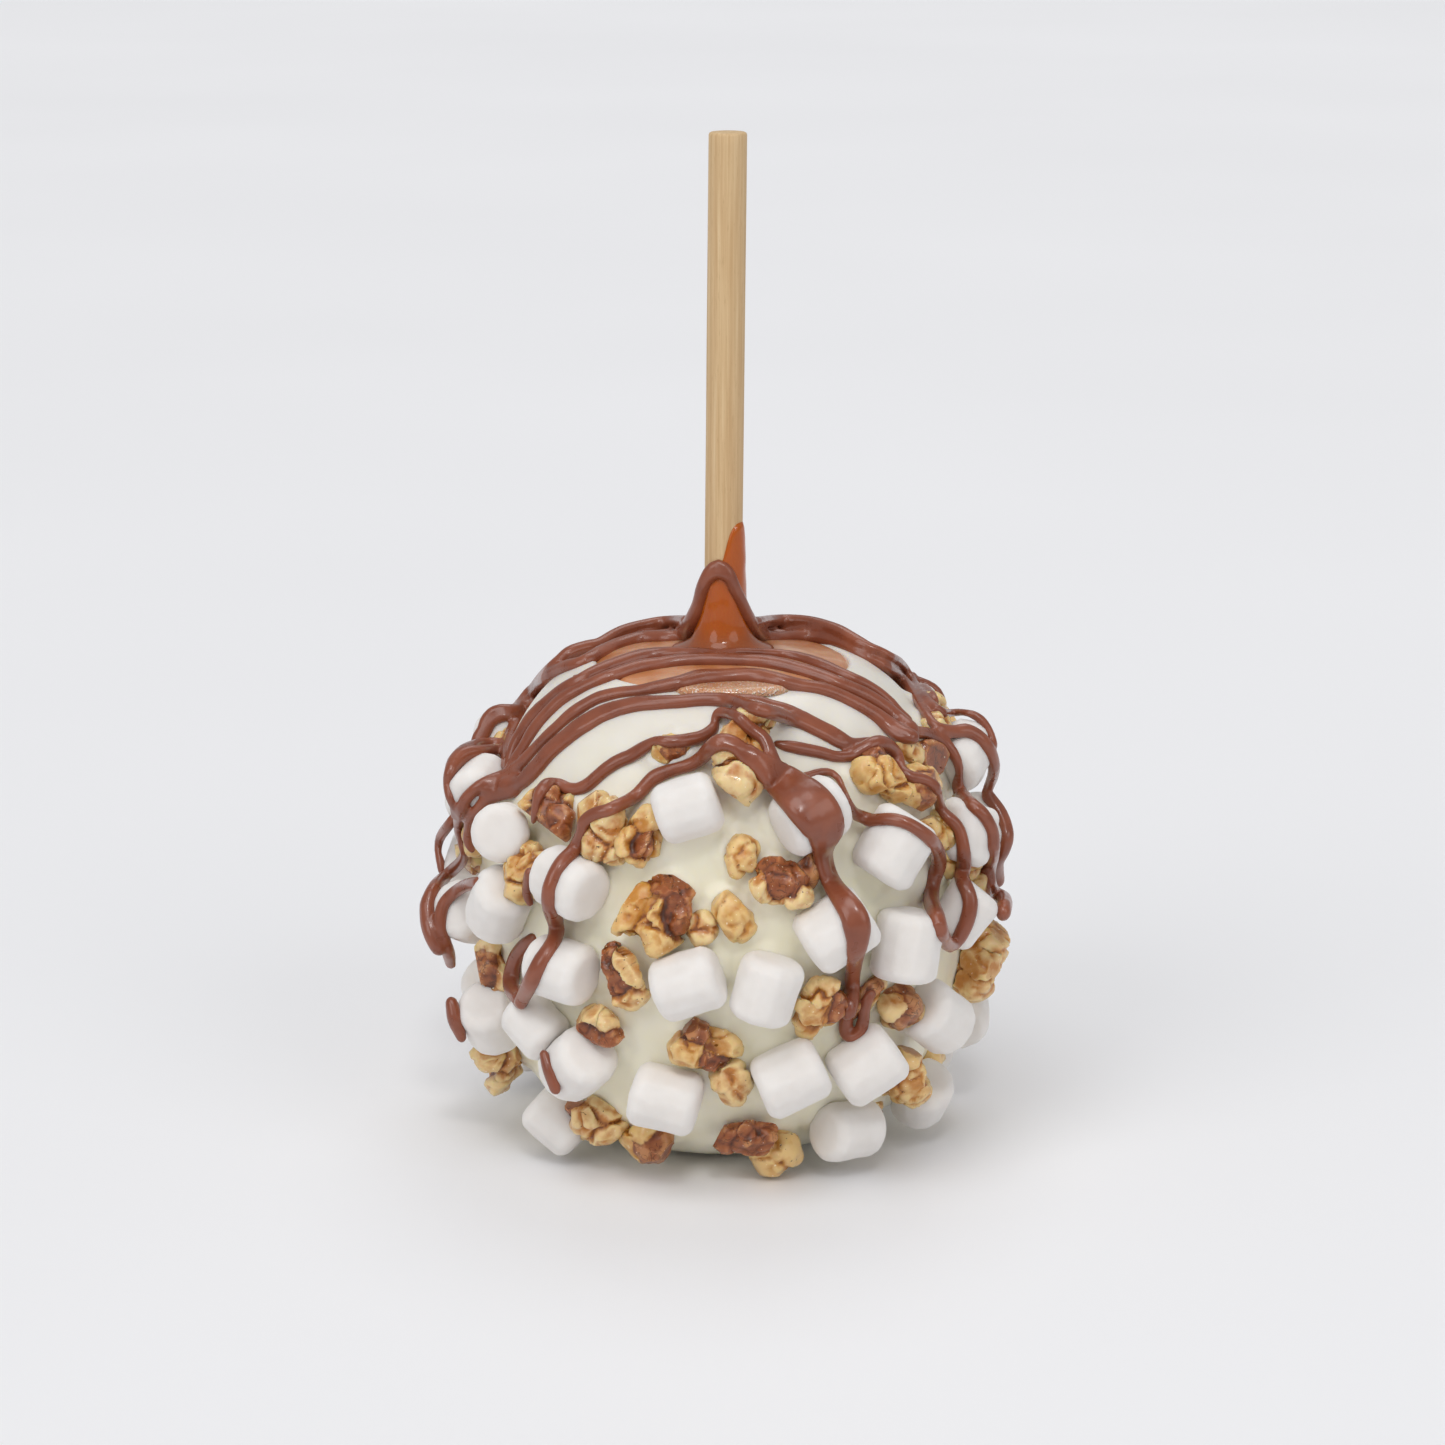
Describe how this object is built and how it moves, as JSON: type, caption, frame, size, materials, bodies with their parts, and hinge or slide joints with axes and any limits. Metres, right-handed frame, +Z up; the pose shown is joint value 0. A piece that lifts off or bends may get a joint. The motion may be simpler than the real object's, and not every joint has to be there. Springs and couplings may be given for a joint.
{
  "type": "toffee apple",
  "caption": "Toffee apple on a wooden stick: dipped in caramel and white chocolate, rolled in mini marshmallows and walnut pieces, with a thin milk chocolate drizzle.",
  "frame": {"origin": "centre of the small flat spot under the apple, on the surface it stands on", "axes": "+Z up along the stick, -Y towards the side that the picture shows, +X to that view's right"},
  "size_m": [0.0986, 0.1005, 0.1703],
  "materials": {
    "caramel": "soft caramel, milky light brown in the pool round the stick and amber where it is thin, glossy",
    "white_chocolate": "set white chocolate, ivory with a faint green-yellow shade, semi-gloss",
    "marshmallow": "soft white mini marshmallow, dusty and matt",
    "walnut": "broken walnut kernel, cream and golden with brown skin in the folds, thinly glazed",
    "milk_chocolate": "set milk chocolate drizzle, satin",
    "wood": "plain pale hardwood dowel with fine straight grain, unvarnished"
  },
  "bodies": {
    "root": {"caramel_apple": "caramel", "caramel_collar": "caramel", "white_chocolate_coat": "white_chocolate", "stick": "wood", "marshmallow_01": "marshmallow", "marshmallow_02": "marshmallow", "marshmallow_03": "marshmallow", "marshmallow_04": "marshmallow", "marshmallow_05": "marshmallow", "marshmallow_06": "marshmallow", "marshmallow_07": "marshmallow", "marshmallow_08": "marshmallow", "marshmallow_09": "marshmallow", "marshmallow_10": "marshmallow", "marshmallow_11": "marshmallow", "marshmallow_12": "marshmallow", "marshmallow_13": "marshmallow", "marshmallow_14": "marshmallow", "marshmallow_15": "marshmallow", "marshmallow_16": "marshmallow", "marshmallow_17": "marshmallow", "marshmallow_18": "marshmallow", "marshmallow_19": "marshmallow", "marshmallow_20": "marshmallow", "marshmallow_21": "marshmallow", "marshmallow_22": "marshmallow", "marshmallow_23": "marshmallow", "marshmallow_24": "marshmallow", "marshmallow_25": "marshmallow", "marshmallow_26": "marshmallow", "marshmallow_27": "marshmallow", "marshmallow_28": "marshmallow", "marshmallow_29": "marshmallow", "marshmallow_30": "marshmallow", "marshmallow_31": "marshmallow", "marshmallow_32": "marshmallow", "marshmallow_33": "marshmallow", "marshmallow_34": "marshmallow", "marshmallow_35": "marshmallow", "marshmallow_36": "marshmallow", "walnut_01": "walnut", "walnut_02": "walnut", "walnut_03": "walnut", "walnut_04": "walnut", "walnut_05": "walnut", "walnut_06": "walnut", "walnut_07": "walnut", "walnut_08": "walnut", "walnut_09": "walnut", "walnut_10": "walnut", "walnut_11": "walnut", "walnut_12": "walnut", "walnut_13": "walnut", "walnut_14": "walnut", "walnut_15": "walnut", "walnut_16": "walnut", "walnut_17": "walnut", "walnut_18": "walnut", "walnut_19": "walnut", "walnut_20": "walnut"}
  },
  "joints": []
}
